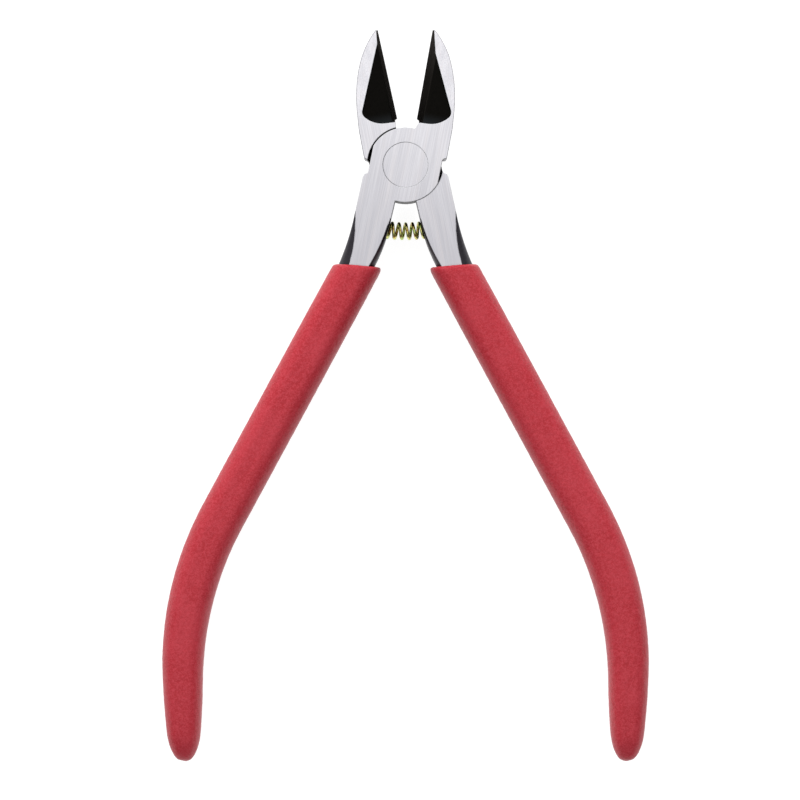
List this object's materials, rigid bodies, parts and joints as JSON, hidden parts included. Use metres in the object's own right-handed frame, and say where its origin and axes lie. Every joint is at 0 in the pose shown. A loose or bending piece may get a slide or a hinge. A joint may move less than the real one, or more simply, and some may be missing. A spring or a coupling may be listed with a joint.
{
  "type": "sprue nippers",
  "caption": "Small side-cutting sprue nippers with lap-jointed steel jaws, a return spring and vinyl-dipped handles.",
  "frame": {"origin": "where the pivot's axis meets the ground rear face of the head", "axes": "+Z out of the front face along the pivot, +Y from the pivot to the jaw tips, +X towards the right jaw"},
  "size_m": [0.0796, 0.1201, 0.01],
  "materials": {
    "ground_steel": "satin",
    "rivet_steel": "satin",
    "red_vinyl": "matte",
    "passivated_wire": "satin"
  },
  "bodies": {
    "rear": {"rear_half": "ground_steel", "pivot_rivet": "rivet_steel", "right_grip": "red_vinyl", "return_spring": "passivated_wire"},
    "front": {"front_half": "ground_steel", "left_grip": "red_vinyl"}
  },
  "joints": [
    {"name": "handle_pivot", "type": "hinge", "parent": "rear", "child": "front", "pos_m": [0, 0, 0], "axis": [0, 0, 1], "range_deg": [-13, 22.5], "stiffness_Nm_per_rad": 0.675, "deforming": ["return_spring"]}
  ]
}
